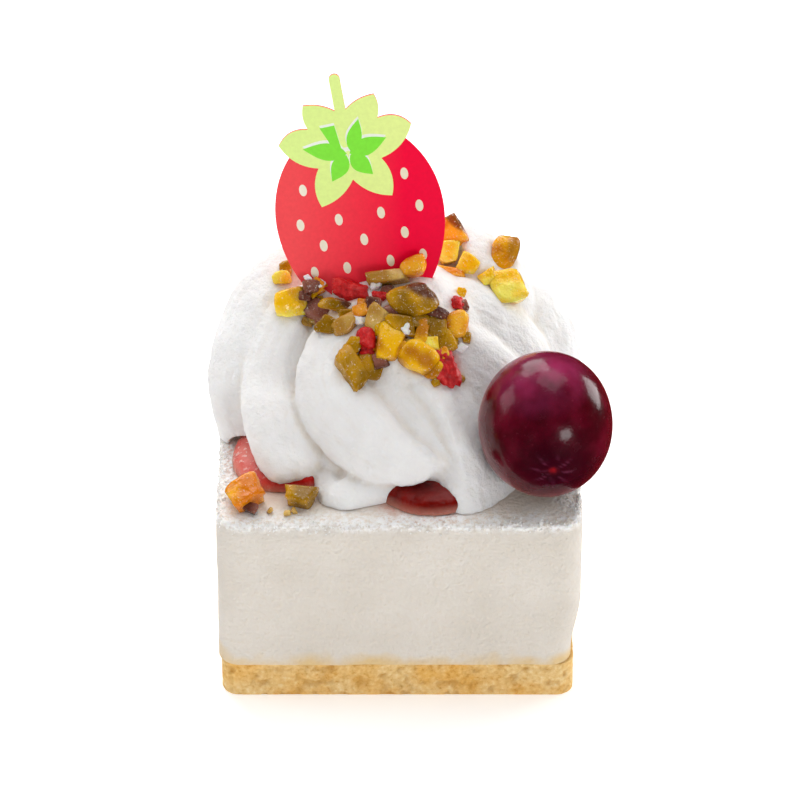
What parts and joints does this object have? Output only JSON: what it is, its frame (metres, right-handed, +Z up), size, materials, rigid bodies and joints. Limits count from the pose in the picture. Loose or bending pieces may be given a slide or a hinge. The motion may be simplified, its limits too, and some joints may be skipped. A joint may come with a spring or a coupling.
{
  "type": "berry cake",
  "caption": "Square mousse cake on a thin sponge base, topped with twisted whipped cream, a dark berry, jam, chopped nuts and a flat strawberry pick.",
  "frame": {"origin": "middle of the sponge base's flat underside", "axes": "+Z up through the cake, -Y to the front where the berry and the jam show, +X to the berry's side"},
  "size_m": [0.0625, 0.0567, 0.089],
  "materials": {
    "sponge_base": "open golden sponge crumb",
    "mousse_block": "pale set mousse, frosty at the top edge",
    "berry_jam": "wet red jam",
    "whipped_cream": "soft whipped cream with chopped nuts",
    "berry": "shiny dark skin",
    "strawberry_pick": "printed plastic"
  },
  "bodies": {
    "root": {"sponge_base": "sponge_base", "mousse_block": "mousse_block", "berry_jam": "berry_jam", "whipped_cream": "whipped_cream", "berry": "berry", "strawberry_pick": "strawberry_pick"}
  },
  "joints": []
}
